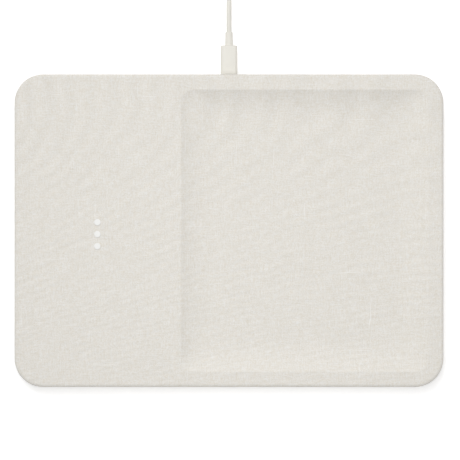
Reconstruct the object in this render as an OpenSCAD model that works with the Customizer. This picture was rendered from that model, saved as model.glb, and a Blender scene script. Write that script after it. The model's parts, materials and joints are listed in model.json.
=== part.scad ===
// Linen-wrapped wireless charging pad with a catch-all tray and a USB-C lead.
// Millimetres. The origin is the middle of the underside, +Z is up and +Y is the rear,
// where the lead plugs in. The cable is drawn fully plugged in, its spare length coiled.

/* [Pad] */
// Overall width
pad_w = 240; // [200:1:300]
// Overall depth, front to rear
pad_d = 175; // [146:1:220]
// Height from the table to the top of the linen
pad_h = 15; // [15:0.5:20]
// Corner radius of the outline
corner_r = 16; // [13:0.5:22]
// Radius of the rounded top edge
edge_r = 1.8; // [1.2:0.1:2.4]

/* [Tray] */
// Width of the charging surface, from the left side to the tray
charge_zone_w = 92.9; // [84:0.1:112]
// Width of the level rim behind, beside and in front of the tray
rim_w = 8.4; // [7:0.1:12]
// Depth of the tray's floor below the rim
tray_depth = 5; // [3:0.1:6]
// Width of the scooped wall, seen from above
scoop_w = 18.5; // [14:0.5:24]
// Corner radius of the tray at the rim
tray_corner_r = 7; // [5:0.5:10]
// Corner radius of the tray's floor
floor_corner_r = 12; // [8:0.5:16]
// Radius where the rim turns down into the tray
lip_r = 1; // [0.8:0.1:2]

/* [Linen cover] */
// Thickness of the linen with its backing
linen_t = 0.7; // [0.5:0.05:0.9]
// Height that the hem turns up inside the shell's wall
hem_h = 3.6; // [2:0.1:5]
// Height of the linen's lower edge above the table
skirt_gap = 0.7; // [0.5:0.1:1]

/* [Shell and base] */
// Thickness of the shell's side wall
wall_t = 2.5; // [2:0.1:3]
// Thickness of the shell's top and of the tray's floor
top_t = 2; // [1.6:0.1:2.4]
// Thickness of the base plate
base_t = 2; // [1.8:0.1:2.4]
// Gap between the base plate and the hem around it
base_gap = 0.2; // [0.1:0.05:0.4]
// Thickness of the non-slip mat
mat_t = 1.3; // [1:0.1:1.4]
// Distance from the pad's outline to the mat
mat_inset = 6; // [5.5:0.1:10]
// Thickness of the adhesive tapes
tape_t = 0.15; // [0.1:0.05:0.2]
// Thickness of the steel ballast plate
ballast_t = 2; // [1:0.1:2]

/* [Charging dots] */
// Diameter of a dot
dot_d = 3.7; // [3:0.1:5]
// Distance between dots
dot_pitch = 6.7; // [5.5:0.1:7]
// Height of a dot above the linen
dot_proud = 0.5; // [0.3:0.1:0.8]
// Diameter of a dot's stem
dot_stem_d = 2; // [1.6:0.1:2.4]

/* [Charging coil] */
// Distance of the coil's centre in front of the pad's centre
coil_front = 2; // [0:0.5:6]
// Outer diameter of the transmitter coil
coil_od = 44; // [40:1:50]
// Number of turns in one layer of the coil
coil_turns = 12; // [10:1:13]
// Pitch of the coil's litz wire
litz_pitch = 0.98; // [0.9:0.01:1]
// Side of the square ferrite shield
ferrite_w = 53; // [51:1:56]
// Thickness of the ferrite shield
ferrite_t = 2; // [1.8:0.1:2.2]
// Thickness of the coil carrier's plate
carrier_t = 1.2; // [1:0.1:1.6]

/* [Control board] */
// Width of the board
board_w = 74; // [70:1:80]
// Depth of the board
board_d = 33; // [30:1:36]
// Thickness of the board
board_t = 1; // [0.8:0.1:1.2]
// Distance from the port's centre to the right end of the board
board_right = 12; // [11:0.5:14]
// Height of the posts that carry the board
post_h = 0.8; // [0.6:0.1:1]

/* [USB-C port and plugs] */
// Width of the plug's metal shell
plug_shell_w = 8.25; // [8.2:0.01:8.3]
// Height of the plug's metal shell
plug_shell_h = 2.4; // [2.36:0.01:2.42]
// Length of the metal shell beyond the overmould
plug_reach = 6.65; // [6.2:0.05:6.7]
// Gap all round between the plug's and the socket's shells, on the wide sides
plug_play_h = 0.08; // [0.06:0.01:0.12]
// Gap between the plug's and the socket's shells at the two ends
plug_play_w = 0.045; // [0.04:0.005:0.08]
// Length of the overmould
overmould_l = 16.4; // [14:0.1:24]
// Width of the overmould
overmould_w = 9.4; // [9.2:0.1:12]
// Thickness of the overmould
overmould_h = 5.4; // [5:0.1:6.4]
// Length of the strain relief
relief_l = 7.6; // [6:0.1:14]
// Diameter of the strain relief
relief_d = 4.4; // [4:0.1:5]

/* [Cord] */
// Diameter of the cord
cord_d = 2.8; // [2.6:0.1:3]
// Mean radius of the coiled spare length
coil_mean_r = 16.8; // [14:0.1:20]
// Turns side by side in the coil
coil_cols = 4; // [3:1:5]
// Turns on top of each other in the coil
coil_rows = 4; // [3:1:5]
// Thickness of the strap that ties the coil
tie_t = 0.6; // [0.4:0.1:1]
// Width of the strap
tie_w = 8; // [5:0.5:12]

/* [Hidden] */
$fn = 48;
cut = 1;              // how far a cutter runs past the surface it opens
fit = 0.05;           // gap between parts that are fixed together
round_fn = 32;        // segments of the round parts inside a hull
corner_steps = 6;     // segments in each corner of the tray
scoop_steps = 6;      // segments down the tray's scooped wall
lip_steps = 2;        // segments over the tray's lip
tube_sides = 8;       // sides of a swept wire or cord

// heights, from the table up
shell_z = skirt_gap + linen_t;
base_top = skirt_gap + base_t;
recess_z = mat_t + tape_t;
top_z = pad_h - linen_t;
ceiling_z = top_z - top_t;
floor_z = pad_h - tray_depth;
floor_under_z = floor_z - linen_t - top_t;
anchor_z = ceiling_z + top_t / 2;

// outlines, as insets from the pad's outline
inner_in = linen_t + wall_t;
hem_in = inner_in + linen_t;
base_in = hem_in + base_gap;

// tray, seen from above, and the two arcs of its wall
tray_x0 = charge_zone_w - pad_w / 2;
tray_x1 = pad_w / 2 - rim_w;
tray_y1 = pad_d / 2 - rim_w;
tray_w = tray_x1 - tray_x0;
tray_d = 2 * tray_y1;
tray_x = (tray_x0 + tray_x1) / 2;
scoop_angle = 2 * atan(tray_depth / scoop_w);
scoop_r = scoop_w / sin(scoop_angle) - lip_r;

// screws that hold the base plate to the shell
screw_in_x = 12;
screw_in_y = 11.5;
screw_cols = 4;
skipped_col = 1;      // the board takes this place at the rear
screw_pitch = (pad_w - 2 * screw_in_x) / (screw_cols - 1);
screw_y = pad_d / 2 - screw_in_y;
base_screws_xy = [
    for (i = [0:screw_cols - 1], side = [-1, 1])
        if (side < 0 || i != skipped_col)
            [i * screw_pitch + screw_in_x - pad_w / 2, side * screw_y]
];
boss_r = 3;
base_shank_r = 1.05;
base_screw_l = 6;
base_head_r = 2.2;
base_head_h = 1;
pilot_extra = 0.6;    // pilot hole beyond the tip of its screw

// the spread ends that hold the dots' stems under the shell's top
dot_foot_h = 0.5;
dot_foot_extra = 0.4;

// ribs under the tray and the ballast between them and the base
rib_t = 1.2;
rib_gap = 0.5;
rib_count = 4;
ballast_in = [11, 8];       // from the tray's left and right sides
ballast_front_in = 13;
ballast_rear_gap = 6;
ballast_r = 4;
ballast_x0 = tray_x0 + ballast_in[0];
ballast_x1 = tray_x1 - ballast_in[1];
ballast_y0 = ballast_front_in - tray_y1;

// charging coil, hung from the shell's ceiling over the carrier
coil_x = charge_zone_w / 2 - pad_w / 2;
coil_y = -coil_front;
litz_r = 0.52;
litz_layers = 2;
coil_t = litz_layers * litz_pitch + 2 * (litz_r - litz_pitch / 2);
coil_pad_t = 0.3;
coil_id = coil_od - 2 * (coil_turns * litz_pitch);
coil_top_z = ceiling_z - coil_pad_t;
coil_bottom_z = coil_top_z - coil_t;
ferrite_z = coil_bottom_z - ferrite_t;
ferrite_r = 3;
carrier_z = ferrite_z - carrier_t;
carrier_rim_t = 1.2;
carrier_rim_h = 0.6;
carrier_w = ferrite_w + 2 * carrier_rim_t + 2 * fit;
ear_x = carrier_w / 2 + 3.2;
ear_y = 18;
ear_r = 3.4;
carrier_boss_r = 2.75;
carrier_shank_r = 0.95;
carrier_screw_l = 5.4;
pan_head_r = 1.9;
pan_head_h = 0.9;
groove_w = 1.8;
groove_depth = 1.4;
inner_groove_x = -2.4;
sensor_groove_x = 2.4;
litz_lead_r = 0.6;
sensor_lead_r = 0.35;
sensor_r = 1.2;
sensor_h = 1;
outer_lead_x = 3;
wire_past_edge = 2;                // how far a wire runs past the carrier before it drops
wire_bends = [0.3, 0.6, 0.85];     // where a wire bends on its way down to the board
wire_approach = [2.5, 4];          // seen from above, from a wire's last bend to its pad
wire_tail = [2, 0.5, 0];           // the soldered end of a wire on its pad

// control board behind the coil, with the port at its rear edge
board_gap = 0.4;
board_y1 = pad_d / 2 - hem_in - board_gap;
board_y0 = board_y1 - board_d;
board_x1 = board_right;
board_x0 = board_x1 - board_w;
board_z = base_top + post_h;
board_top = board_z + board_t;
post_r = 2.4;
post_in = 3.8;
board_shank_r = 0.8;
board_screw_l = 2.7;
board_holes = [
    for (x = [board_x0 + post_in, board_x1 - post_in])
        for (y = [board_y0 + post_in, board_y1 - post_in]) [x, y]
];
ballast_y1 = board_y0 - ballast_rear_gap;

// components, as [x, y] from the board's front left corner
controller_at = [46, 15];
controller_size = [7, 7, 0.9];
transistors_at = [[24, 8], [30, 8], [24, 14], [30, 14]];
transistor_size = [3.3, 3.3, 0.8];
resonant_caps_at = [[12, 9], [16, 9], [12, 13.5], [16, 13.5]];
resonant_cap_size = [3.2, 2.5, 2];
input_caps_at = [[54, 24], [58, 24], [54, 20]];
input_cap_size = [3.2, 1.6, 1.6];
inductor_at = [36, 25];
inductor_size = [6.6, 6.6, 2.4];
passives_at = [
    [38, 10], [38, 12], [38, 14], [38, 18], [54, 10],
    [54, 12], [54, 14], [20, 22], [22, 22], [24, 22]
];
passive_size = [1, 0.5, 0.4];
lead_pads_at = [[8, 4.2], [2.5, 9.5]];
sensor_pads_at = [12, 3.5];
lead_pad_h = 0.2;
lead_pad_size = [4, 2.6];
board_corner_r = 1.5;
inductor_r = 1.2;

// port
socket_in_w = plug_shell_w + 2 * plug_play_w;
socket_in_h = plug_shell_h + 2 * plug_play_h;
socket_wall = 0.32;
socket_w = socket_in_w + 2 * socket_wall;
socket_h = socket_in_h + 2 * socket_wall;
socket_l = 7.8;
socket_setback = 0.3;
socket_depth = 6.2;
socket_block_l = 1.5;
port_z = board_top + socket_h / 2;
socket_mouth_y = pad_d / 2 - socket_setback;
tongue_w = 6.69;
tongue_l = 4.45;
tongue_t = 0.6;
contact_count = 12;
contact_pitch = 0.5;
contact_w = 0.25;
tongue_contact_t = 0.05;
tongue_contact_l = 3.6;
bezel_gap = 0.1;
bezel_wall = 1.2;
bezel_lip = 0.8;
bezel_w = socket_w + 2 * (bezel_gap + bezel_wall);
bezel_h = socket_h + 2 * (bezel_gap + bezel_wall);
bezel_r = 1.4;

// plug, in its own frame: the overmould's front face at y = 0, the tip towards -Y
plug_wall = 0.25;
plug_root = 1.5;
plug_gap = 0.2;       // from the pad's rear face to the overmould
insert_w = plug_shell_w - 2 * plug_wall - fit;
insert_h = plug_shell_h - 2 * plug_wall - fit;
insert_setback = 0.1;
slot_w = 6.95;
slot_h = 1;
slot_l = 5.3;
plug_contact_t = 0.1;
plug_contact_l = 3.6;
overmould_r = 1.2;
relief_taper = 0.15;
relief_end_d = relief_d - 2 * relief_taper;

// route of the cord, from the middle of the pad's rear face at table height
lead_route = [
    [0, 24.2, 6.1], [0, 29, 6.1], [0, 34, 5.2], [0, 39, 3.5], [0, 44, 2],
    [0, 49, 1.5], [0, 55, 1.5], [0, 61, 1.6], [0, 67, 2], [0, 72.5, 2]
];
tail_route = [
    [0, 72.5, 10.4], [0, 78, 10.4], [0, 84, 10], [1.8, 93.2, 8.2], [7, 101, 5.6],
    [14.8, 106.2, 3.1], [21, 107.8, 1.8], [26.5, 108, 1.5], [32, 108, 2.1], [36, 108, 2.7],
    [38, 108, 2.7]
];
cord_end = tail_route[len(tail_route) - 1];
cord_entry = lead_route[len(lead_route) - 1];
coil_wind_r = coil_mean_r + (coil_cols - 1) * cord_d / 2;
coil_in_r = coil_mean_r - coil_cols * cord_d / 2;
coil_out_r = coil_mean_r + coil_cols * cord_d / 2;
coil_h = coil_rows * cord_d;
tie_play = 0.1;
tie_reach = 0.8;      // the strap stands off the coil's curved inside by this much

dot_names = ["charge_dot_front", "charge_dot_middle", "charge_dot_rear"];

linen = [0.88, 0.87, 0.83];
white_plastic = [0.93, 0.92, 0.9];
dark_plastic = [0.16, 0.16, 0.17];
rubber = [0.3, 0.3, 0.31];
tape = [0.75, 0.72, 0.62];
steel = [0.68, 0.69, 0.7];
copper = [0.78, 0.45, 0.26];
ferrite = [0.2, 0.2, 0.21];
board_green = [0.12, 0.36, 0.24];
chip_black = [0.08, 0.08, 0.09];
ceramic = [0.62, 0.52, 0.4];
gold = [0.86, 0.7, 0.36];
cable_cream = [0.91, 0.9, 0.87];

// ---- shared shapes ----

// a rounded rectangle
module rounded(w, d, r) {
    square([w - 2 * r, d], center = true);
    square([w, d - 2 * r], center = true);
    for (x = [-1, 1], y = [-1, 1])
        translate([x * (w / 2 - r), y * (d / 2 - r)]) circle(r);
}

// a rounded slab from one height to another
module slab(w, d, r, z0, z1) {
    translate([0, 0, z0]) linear_extrude(z1 - z0) rounded(w, d, r);
}

// an upright cylinder from one height to another
module upright(r, z0, z1) {
    translate([0, 0, z0]) cylinder(r = r, h = z1 - z0);
}

// a slab with the pad's own outline, moved in by an inset
module inset_slab(inset, z0, z1) {
    slab(pad_w - 2 * inset, pad_d - 2 * inset, corner_r - inset, z0, z1);
}

// a block with the pad's outline, moved in by an inset, and its rounded top edge
module pad_block(inset, z0, z1) {
    r = corner_r - inset;
    e = edge_r - inset;
    hull()
        for (x = [-1, 1], y = [-1, 1])
            translate([x * (pad_w / 2 - corner_r), y * (pad_d / 2 - corner_r), 0]) {
                translate([0, 0, z0]) cylinder(r = r, h = z1 - z0 - e, $fn = round_fn);
                translate([0, 0, z1 - e])
                    rotate_extrude($fn = round_fn) translate([r - e, 0]) circle(e, $fn = round_fn);
            }
}

// an upright flat oval, lying along Y from y0 to y1
module oval_bar(w, h, y0, y1) {
    translate([0, y1, 0]) rotate([90, 0, 0]) linear_extrude(y1 - y0) {
        square([w - h, h], center = true);
        for (x = [-1, 1]) translate([x * (w - h) / 2, 0]) circle(h / 2);
    }
}

// an upright rounded rectangle, lying along Y from y0 to y1
module round_bar(w, h, r, y0, y1) {
    translate([0, y1, 0]) rotate([90, 0, 0]) linear_extrude(y1 - y0) rounded(w, h, r);
}

// one ring of points round a rounded rectangle, anticlockwise from above
function ring(half_w, half_d, r, z) = [
    for (c = [0:3], s = [0:corner_steps])
        let (a = 90 * (c + s / corner_steps),
            x = (c == 0 || c == 3) ? half_w - r : r - half_w,
            y = c < 2 ? half_d - r : r - half_d)
        [x + r * cos(a), y + r * sin(a), z]
];

// the faces that close a stack of rings of n points
function stack_faces(rings, n) = concat(
    [[for (i = [0:n - 1]) i]],
    [for (k = [0:rings - 2], i = [0:n - 1]) [k * n + i, k * n + n + i, k * n + n + (i + 1) % n]],
    [for (k = [0:rings - 2], i = [0:n - 1])
        [k * n + i, k * n + n + (i + 1) % n, k * n + (i + 1) % n]],
    [[for (i = [n - 1:-1:0]) (rings - 1) * n + i]]
);

module ring_stack(rings) {
    polyhedron([for (r = rings) each r], stack_faces(len(rings), len(rings[0])), convexity = 6);
}

// the tray's wall from the floor up, as [distance in from the rim, height], moved out by grow
function wall_profile(grow) =
    let (r = scoop_r + grow, lip = lip_r - grow,
        end = lip > 0 ? scoop_angle : acos(1 - tray_depth / r))
    concat(
        [for (i = [0:scoop_steps])
            let (a = end * i / scoop_steps)
            [scoop_w - r * sin(a), floor_z + scoop_r - r * cos(a)]],
        lip <= 0 ? [] : [for (i = [1:lip_steps])
            let (a = scoop_angle * (1 - i / lip_steps))
            [lip * sin(a), pad_h - lip_r + lip * cos(a)]]
    );

// the corner radius of the tray at a distance in from the rim
function tray_r(d) = tray_corner_r + (floor_corner_r - tray_corner_r) * d / scoop_w;

// the space of the tray, grown by a thickness and closed at a height
module tray_space(grow, cap_z) {
    wall = wall_profile(grow);
    levels = concat(wall, [[wall[len(wall) - 1][0], cap_z]]);
    translate([tray_x, 0, 0])
        ring_stack([for (p = levels) ring(tray_w / 2 - p[0], tray_d / 2 - p[0], tray_r(p[0]), p[1])]);
}

// a tube swept along a route that is never upright
function unit(v) = v / norm(v);
function heading(p, i) = unit(p[min(i + 1, len(p) - 1)] - p[max(i - 1, 0)]);
function tube_ring(at, t, r) =
    let (side = unit(cross(t, [0, 0, 1])), down = cross(t, side))
    [for (k = [0:tube_sides - 1])
        let (a = 360 * (k + 0.5) / tube_sides) at + r * (cos(a) * side + sin(a) * down)];
module tube(p, r) {
    ring_stack([for (i = [0:len(p) - 1]) tube_ring(p[i], heading(p, i), r)]);
}

// a cross-head screw: the head's top is at z = 0 and the shank runs towards -Z
module cross_recess(r, depth) {
    for (a = [0, 90])
        rotate([0, 0, a]) translate([-r, -r / 4, -depth]) cube([2 * r, r / 2, depth + cut]);
}
module flat_screw(head_r, head_h, shank_r, length) {
    difference() {
        union() {
            translate([0, 0, -head_h]) cylinder(r1 = shank_r, r2 = head_r, h = head_h);
            translate([0, 0, -length]) cylinder(r = shank_r, h = length - head_h / 2);
        }
        cross_recess(head_r * 0.55, head_h * 0.6);
    }
}
module pan_screw(head_r, head_h, shank_r, length) {
    difference() {
        union() {
            cylinder(r = head_r, h = head_h);
            translate([0, 0, -length]) cylinder(r = shank_r, h = length + head_h / 2);
        }
        translate([0, 0, head_h]) cross_recess(head_r * 0.6, head_h * 0.6);
    }
}

// chip bodies on the board, at spots measured from its front left corner
module on_board(spots, size) {
    for (p = spots)
        translate([board_x0 + p[0] - size[0] / 2, board_y0 + p[1] - size[1] / 2, board_top])
            cube(size);
}

module at_coil() { translate([coil_x, coil_y, 0]) children(); }
module at_carrier_screws() {
    for (x = [-1, 1], y = [-1, 1])
        translate([coil_x + x * ear_x, coil_y + y * ear_y, 0]) children();
}
module at_base_screws() {
    for (p = base_screws_xy) translate([p[0], p[1], 0]) children();
}
module at_board_screws() {
    for (p = board_holes) translate([p[0], p[1], 0]) children();
}
module at_port() { translate([0, 0, port_z]) children(); }
module at_rear() { translate([0, pad_d / 2, 0]) children(); }
module at_near_plug() { translate([0, pad_d / 2 + plug_gap, port_z]) children(); }
module at_far_plug() {
    translate([cord_end[0] + relief_l + overmould_l, pad_d / 2 + cord_end[1], overmould_h / 2])
        rotate([0, 0, 90]) children();
}

module at_dots() {
    for (i = [-1:1]) at_coil() translate([0, i * dot_pitch, 0]) children();
}

// ---- pad ----

// a bar of the bezel's outline, grown by a gap, from y0 to y1
module bezel_bar(grow, y0, y1) {
    at_port() round_bar(bezel_w + 2 * grow, bezel_h + 2 * grow, bezel_r, y0, y1);
}

module linen_cover() {
    color(linen) difference() {
        union() {
            difference() {
                pad_block(0, skirt_gap, pad_h);
                difference() {
                    pad_block(linen_t, shell_z, top_z);
                    tray_space(linen_t, pad_h + cut);
                }
                tray_space(0, pad_h + cut);
            }
            inset_slab(inner_in, skirt_gap, shell_z + hem_h);
        }
        inset_slab(hem_in, skirt_gap - cut, shell_z + hem_h + cut);
        bezel_bar(bezel_lip + fit, pad_d / 2 - hem_in - cut, pad_d / 2 + cut);
        at_dots() upright(dot_stem_d / 2 + fit, top_z - cut, pad_h + cut);
    }
}

// a rib under the tray's floor, just above the ballast
module rib(x) {
    z0 = base_top + tape_t + ballast_t + rib_gap;
    translate([x - rib_t / 2, ballast_y0, z0])
        cube([rib_t, ballast_y1 - ballast_y0, floor_under_z + top_t / 2 - z0]);
}

module top_shell() {
    color(white_plastic) difference() {
        union() {
            difference() {
                pad_block(linen_t, shell_z, top_z);
                inset_slab(inner_in, shell_z - cut, ceiling_z);
            }
            tray_space(linen_t + top_t, anchor_z);
            at_base_screws() upright(boss_r, base_top + fit, anchor_z);
            at_carrier_screws() upright(carrier_boss_r, ferrite_z + fit, anchor_z);
            for (i = [1:rib_count]) rib(ballast_x0 + (ballast_x1 - ballast_x0) * i / (rib_count + 1));
        }
        tray_space(linen_t, pad_h + cut);
        at_base_screws()
            upright(base_shank_r + fit, base_top, recess_z + base_screw_l + pilot_extra);
        at_carrier_screws()
            upright(carrier_shank_r + fit, ferrite_z, carrier_z + carrier_screw_l + pilot_extra);
        bezel_bar(fit, pad_d / 2 - inner_in - cut, pad_d / 2 + cut);
        bezel_bar(bezel_lip + fit, pad_d / 2 - linen_t, pad_d / 2 + cut);
        at_dots() upright(dot_stem_d / 2 + fit, ceiling_z - cut, top_z + cut);
    }
}

module base_plate() {
    color(dark_plastic) difference() {
        union() {
            inset_slab(base_in, skirt_gap, base_top);
            at_board_screws() upright(post_r, base_top - base_t / 2, board_z);
        }
        inset_slab(mat_inset - fit, skirt_gap - cut, recess_z);
        at_base_screws() {
            translate([0, 0, recess_z + fit])
                cylinder(r1 = base_head_r + 2 * fit, r2 = base_shank_r + 2 * fit, h = base_head_h);
            upright(base_head_r + 2 * fit, recess_z - cut, recess_z + 2 * fit);
            upright(base_shank_r + 2 * fit, recess_z, base_top + cut);
        }
        at_board_screws() upright(board_shank_r + fit, board_top - board_screw_l - fit, board_top);
    }
}

module non_slip_mat() { color(rubber) inset_slab(mat_inset, 0, mat_t); }
module mat_tape() { color(tape) inset_slab(mat_inset, mat_t, recess_z); }

// a soft dot with a stem through the shell, its end spread to hold it
module charge_dot(i) {
    color(white_plastic) at_coil() translate([0, (i - 1) * dot_pitch, 0]) {
        translate([0, 0, pad_h]) rotate_extrude() intersection() {
            translate([0, -cut]) square([dot_d / 2, dot_proud + cut]);
            union() {
                square([dot_d / 2 - dot_proud / 2, dot_proud]);
                square([dot_d / 2, dot_proud / 2]);
                translate([dot_d / 2 - dot_proud / 2, dot_proud / 2]) circle(dot_proud / 2);
            }
        }
        upright(dot_stem_d / 2, ceiling_z - dot_foot_h, pad_h + dot_proud / 2);
        upright(dot_stem_d / 2 + dot_foot_extra, ceiling_z - dot_foot_h, ceiling_z);
    }
}

module port_bezel() {
    lip_w = bezel_w + 2 * bezel_lip;
    lip_h = bezel_h + 2 * bezel_lip;
    hole_w = socket_w + 2 * bezel_gap;
    hole_h = socket_h + 2 * bezel_gap;
    color(white_plastic) at_port() difference() {
        union() {
            round_bar(bezel_w, bezel_h, bezel_r, pad_d / 2 - inner_in, pad_d / 2 - linen_t / 2);
            round_bar(lip_w, lip_h, bezel_r, pad_d / 2 - linen_t, pad_d / 2);
        }
        oval_bar(hole_w, hole_h, pad_d / 2 - inner_in - cut, pad_d / 2 + cut);
    }
}

// ---- charging coil ----

module transmitter_coil() {
    first = coil_od / 2 - litz_pitch / 2;
    color(copper) at_coil() translate([0, 0, coil_bottom_z]) rotate_extrude() {
        translate([coil_id / 2 + litz_pitch / 2, litz_r / 2])
            square([(coil_turns - 1) * litz_pitch, coil_t - litz_r]);
        for (i = [0:coil_turns - 1], z = [litz_r, coil_t - litz_r])
            translate([first - i * litz_pitch, z]) circle(litz_r);
    }
}

module coil_adhesive_pad() {
    color(tape) at_coil() translate([0, 0, coil_top_z]) difference() {
        cylinder(d = coil_od, h = coil_pad_t);
        translate([0, 0, -cut]) cylinder(d = coil_id, h = coil_pad_t + 2 * cut);
    }
}

module ferrite_shield() {
    color(ferrite) at_coil() difference() {
        slab(ferrite_w, ferrite_w, ferrite_r, ferrite_z, coil_bottom_z);
        for (x = [inner_groove_x, sensor_groove_x])
            translate([x - groove_w / 2, 0, coil_bottom_z - groove_depth])
                cube([groove_w, ferrite_w, groove_depth + cut]);
    }
}

module coil_carrier() {
    rim_z = ferrite_z + carrier_rim_h;
    color(dark_plastic) difference() {
        union() {
            at_coil()
                slab(carrier_w, carrier_w, ferrite_r + carrier_rim_t, carrier_z, rim_z);
            for (x = [-1, 1], y = [-1, 1])
                translate([coil_x + x * ear_x, coil_y + y * ear_y, carrier_z]) {
                    cylinder(r = ear_r, h = carrier_t);
                    translate([-(x + 1) * ear_r / 2, -ear_r, 0]) cube([ear_r, 2 * ear_r, carrier_t]);
                }
        }
        at_coil() slab(ferrite_w + 2 * fit, ferrite_w + 2 * fit, ferrite_r, ferrite_z, rim_z + cut);
        at_carrier_screws() upright(carrier_shank_r + 2 * fit, carrier_z - cut, ferrite_z + cut);
    }
}

// a wire of radius r: level from a start to the carrier's edge, then down to a last bend close
// to its pad, so that it meets the pad from the same side and stays clear of the board's screw
module wire(start, pad_at, r) {
    edge = [start[0], coil_y + carrier_w / 2 + wire_past_edge, start[2]];
    end = [board_x0 + pad_at[0], board_y0 + pad_at[1], board_top + lead_pad_h + r];
    last_bend = [end[0] - wire_approach[0], end[1] - wire_approach[1]];
    last_t = wire_bends[len(wire_bends) - 1];
    bend = [
        for (t = wire_bends)
            [edge[0] + (last_bend[0] - edge[0]) * t / last_t,
            edge[1] + (last_bend[1] - edge[1]) * t / last_t,
            edge[2] + (end[2] - edge[2]) * (1 - cos(180 * t)) / 2]
    ];
    tube(concat([start, edge], bend, [end, end + wire_tail]), r);
}

module coil_leads() {
    outer_end = [coil_x + outer_lead_x, coil_y + coil_od / 2, coil_bottom_z + coil_t / 2];
    inner_end = [coil_x + inner_groove_x, coil_y + coil_id / 2 - 2, coil_bottom_z - litz_lead_r - fit];
    color(copper) {
        wire(outer_end, lead_pads_at[0], litz_lead_r);
        wire(inner_end, lead_pads_at[1], litz_lead_r);
    }
}

module coil_thermistor() {
    color(ceramic) at_coil() translate([sensor_groove_x, 0, coil_bottom_z])
        cylinder(r = sensor_r, h = sensor_h);
}

module thermistor_lead() {
    start = [coil_x + sensor_groove_x, coil_y + sensor_r, coil_bottom_z - groove_depth / 2];
    color(chip_black) wire(start, sensor_pads_at, sensor_lead_r);
}

// ---- ballast ----

module ballast_slab(z0, z1) {
    translate([(ballast_x0 + ballast_x1) / 2, (ballast_y0 + ballast_y1) / 2, 0])
        slab(ballast_x1 - ballast_x0, ballast_y1 - ballast_y0, ballast_r, z0, z1);
}
module ballast_tape() { color(tape) ballast_slab(base_top, base_top + tape_t); }
module ballast_plate() { color(steel) ballast_slab(base_top + tape_t, base_top + tape_t + ballast_t); }

// ---- board ----

module control_board() {
    color(board_green) difference() {
        union() {
            translate([(board_x0 + board_x1) / 2, (board_y0 + board_y1) / 2, 0])
                slab(board_w, board_d, board_corner_r, board_z, board_top);
            for (p = concat(lead_pads_at, [sensor_pads_at]))
                translate([board_x0 + p[0] - 1, board_y0 + p[1] - 1, board_z + board_t / 2])
                    cube([lead_pad_size[0], lead_pad_size[1], board_t / 2 + lead_pad_h]);
        }
        at_board_screws() upright(board_shank_r + 2 * fit, board_z - cut, board_top + cut);
    }
}
module controller_chip() { color(chip_black) on_board([controller_at], controller_size); }
module bridge_transistors() { color(chip_black) on_board(transistors_at, transistor_size); }
module resonant_capacitors() { color(ceramic) on_board(resonant_caps_at, resonant_cap_size); }
module input_capacitors() { color(ceramic) on_board(input_caps_at, input_cap_size); }
module chip_passives() { color(ceramic) on_board(passives_at, passive_size); }
module power_inductor() {
    color(ferrite) translate([board_x0 + inductor_at[0], board_y0 + inductor_at[1], 0])
        slab(inductor_size[0], inductor_size[1], inductor_r, board_top, board_top + inductor_size[2]);
}

module usb_socket_shell() {
    back_y = socket_mouth_y - socket_l;
    color(steel) at_port() difference() {
        oval_bar(socket_w, socket_h, back_y, socket_mouth_y);
        oval_bar(socket_in_w, socket_in_h, back_y - cut, socket_mouth_y + cut);
    }
}
module usb_socket_tongue() {
    block_y = socket_mouth_y - socket_depth;
    color(chip_black) at_port() {
        oval_bar(socket_in_w - fit, socket_in_h - fit, block_y - socket_block_l, block_y);
        translate([-tongue_w / 2, block_y - fit, -tongue_t / 2]) cube([tongue_w, tongue_l + fit, tongue_t]);
    }
}
// a row of contacts on each side of a gap or a tongue, from y0 towards the mouth
module contact_rows(face_z, t, y0, length) {
    for (i = [0:contact_count - 1], side = [-1, 1])
        translate([(i - (contact_count - 1) / 2) * contact_pitch, y0 + length / 2, side * (face_z + t / 2)])
            cube([contact_w, length, t], center = true);
}
module usb_socket_contacts() {
    y0 = socket_mouth_y - socket_depth;
    color(gold) at_port() contact_rows(tongue_t / 2, tongue_contact_t, y0, tongue_contact_l);
}

// ---- screws ----

module base_screws() {
    color(steel) at_base_screws() translate([0, 0, recess_z + fit]) rotate([180, 0, 0])
        flat_screw(base_head_r, base_head_h, base_shank_r, base_screw_l);
}
module carrier_screws() {
    color(steel) at_carrier_screws() translate([0, 0, carrier_z]) rotate([180, 0, 0])
        pan_screw(pan_head_r, pan_head_h, carrier_shank_r, carrier_screw_l);
}
module board_screws() {
    color(steel) at_board_screws() translate([0, 0, board_top])
        pan_screw(pan_head_r, pan_head_h, board_shank_r, board_screw_l);
}

// ---- USB-C plug, used at both ends of the cord ----

module shell_piece() {
    inner_w = plug_shell_w - 2 * plug_wall;
    inner_h = plug_shell_h - 2 * plug_wall;
    color(steel) difference() {
        oval_bar(plug_shell_w, plug_shell_h, -plug_reach, plug_root);
        oval_bar(inner_w, inner_h, -plug_reach - cut, plug_root + cut);
    }
}
module insert_piece() {
    tip_y = insert_setback - plug_reach;
    color(chip_black) difference() {
        oval_bar(insert_w, insert_h, tip_y, plug_root);
        translate([-slot_w / 2, tip_y - cut, -slot_h / 2]) cube([slot_w, slot_l + cut, slot_h]);
    }
}
module contacts_piece() {
    y0 = insert_setback - plug_reach + slot_l - plug_contact_l;
    color(gold) contact_rows(slot_h / 2 - plug_contact_t, plug_contact_t, y0, plug_contact_l);
}
module overmould_piece() {
    color(cable_cream) difference() {
        round_bar(overmould_w, overmould_h, overmould_r, 0, overmould_l);
        oval_bar(plug_shell_w + fit, plug_shell_h + fit, -cut, plug_root + fit);
    }
}
module relief_piece() {
    color(cable_cream) translate([0, overmould_l, 0]) rotate([-90, 0, 0])
        cylinder(d1 = relief_d, d2 = relief_end_d, h = relief_l);
}

// ---- cord ----

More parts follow.
